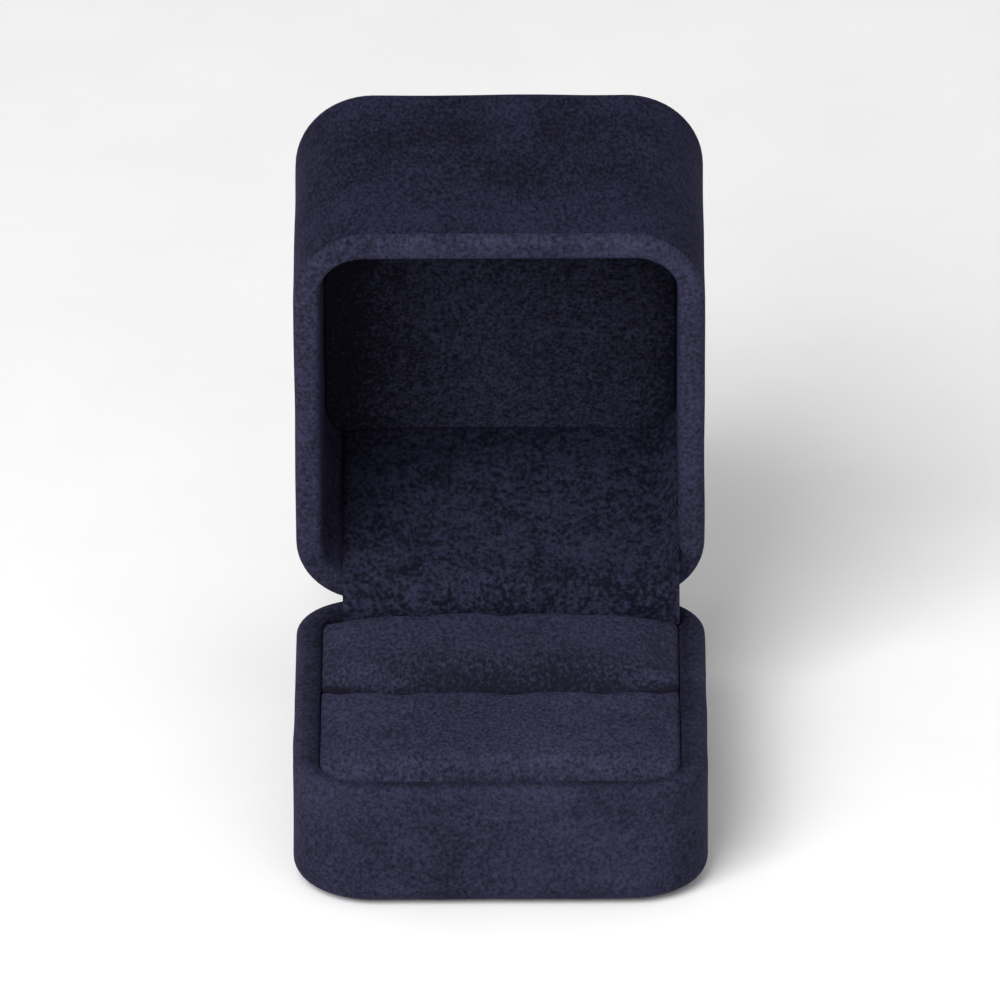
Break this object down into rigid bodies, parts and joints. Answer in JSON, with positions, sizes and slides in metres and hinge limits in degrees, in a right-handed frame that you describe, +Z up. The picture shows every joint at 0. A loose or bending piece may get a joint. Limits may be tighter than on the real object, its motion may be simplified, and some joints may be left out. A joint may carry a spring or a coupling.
{
  "type": "ring box",
  "caption": "Suede-covered ring box with rounded corners, a snap-hinged lid standing open, and two padded rolls that hold a ring between them.",
  "frame": {"origin": "centre of the base's flat underside", "axes": "+Z up out of the base, +Y from the front towards the hinge, +X to the right along the hinge, lid standing open"},
  "size_m": [0.055, 0.0947, 0.0811],
  "materials": {
    "suede": "brushed microfibre suede, dark navy",
    "lining_suede": "longer-napped microfibre suede, dark navy",
    "moulded_shell": "moulded black ABS, fine texture",
    "card": "grey pressed paperboard",
    "foam": "soft grey foam",
    "hinge_steel": "nickel-plated pressed steel",
    "spring_steel": "tempered spring strip"
  },
  "bodies": {
    "base": {"base_shell": "moulded_shell", "base_wrap": "suede", "base_foot_panel": "suede", "insert_board": "card", "front_cushion_foam": "foam", "front_cushion_cover": "suede", "rear_cushion_foam": "foam", "rear_cushion_cover": "suede", "base_hinge_leaf": "hinge_steel", "base_hinge_rivets": "hinge_steel", "hinge_pin": "hinge_steel"},
    "spring": {"snap_spring": "spring_steel"},
    "lid": {"lid_hinge_leaf": "hinge_steel", "lid_hinge_rivets": "hinge_steel", "lid_shell": "moulded_shell", "lid_wrap": "suede", "lid_top_card": "card", "lid_top_lining": "lining_suede", "lid_back_card": "card", "hinge_liner": "lining_suede"}
  },
  "joints": [
    {"name": "lid_hinge", "type": "hinge", "parent": "base", "child": "lid", "pos_m": [0, 0.02885, 0.0175], "axis": [1, 0, 0], "range_deg": [0, 80], "deforming": ["hinge_liner"]},
    {"name": "snap_spring_pivot", "type": "hinge", "parent": "base", "child": "spring", "pos_m": [0, 0.02785, 0.01475], "axis": [1, 0, 0], "range_deg": [0, 40]}
  ],
  "couplings": [
    {"joint": "snap_spring_pivot", "follows": "lid_hinge", "ratio": 0.5}
  ]
}
